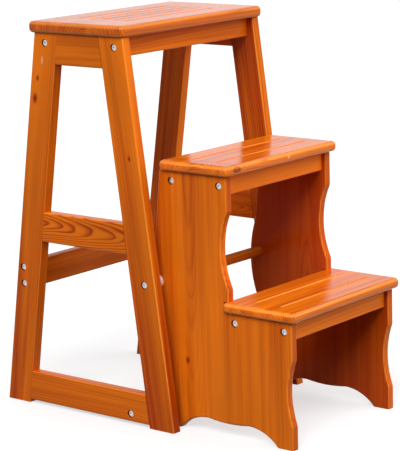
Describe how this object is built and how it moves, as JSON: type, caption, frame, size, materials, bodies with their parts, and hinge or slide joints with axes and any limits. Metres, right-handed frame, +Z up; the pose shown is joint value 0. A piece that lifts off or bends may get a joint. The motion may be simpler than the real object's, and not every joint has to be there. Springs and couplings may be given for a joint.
{
  "type": "folding step stool chair",
  "caption": "Wooden stool seat on an A-shaped frame with a scalloped step unit that turns out as steps or folds in underneath.",
  "frame": {"origin": "on the floor, at the middle of the outline with the steps turned out", "axes": "+Z up, -Y to the front where the steps are, +X to the right seen from the front"},
  "size_m": [0.36, 0.5808, 0.643],
  "materials": {
    "pine": "honey stain, gloss lacquer",
    "dowel_wood": "bare beech",
    "steel": "zinc plated",
    "nylon": "natural nylon"
  },
  "bodies": {
    "frame": {"brace_bolts": "steel", "brace_nuts": "steel", "floor_stretcher": "pine", "front_apron": "pine", "left_bottom_rail": "pine", "left_front_leg": "pine", "left_middle_rail": "pine", "left_rail_dowels": "dowel_wood", "left_rear_leg": "pine", "left_top_rail": "pine", "rear_apron": "pine", "rear_brace": "pine", "right_bottom_rail": "pine", "right_front_leg": "pine", "right_middle_rail": "pine", "right_rail_dowels": "dowel_wood", "right_rear_leg": "pine", "right_top_rail": "pine", "seat_apron_bolts": "steel", "seat_apron_nuts": "steel", "seat_board": "pine", "seat_dowels": "dowel_wood", "seat_screws": "steel", "stretcher_bolts": "steel", "stretcher_nuts": "steel"},
    "step_unit": {"left_step_panel": "pine", "lower_apron_bolts": "steel", "lower_apron_nuts": "steel", "lower_front_apron": "pine", "lower_rear_apron": "pine", "lower_tread": "pine", "lower_tread_dowels": "dowel_wood", "lower_tread_screws": "steel", "middle_apron_bolts": "steel", "middle_apron_nuts": "steel", "middle_front_apron": "pine", "middle_rear_apron": "pine", "middle_tread": "pine", "middle_tread_dowels": "dowel_wood", "middle_tread_screws": "steel", "pivot_bolts": "steel", "pivot_inserts": "steel", "pivot_rod": "pine", "pivot_spacers": "nylon", "right_step_panel": "pine"}
  },
  "joints": [
    {"name": "step_fold", "type": "hinge", "parent": "frame", "child": "step_unit", "pos_m": [0, -0.02019, 0.23455], "axis": [-1, 0, 0], "range_deg": [0, 180]}
  ]
}
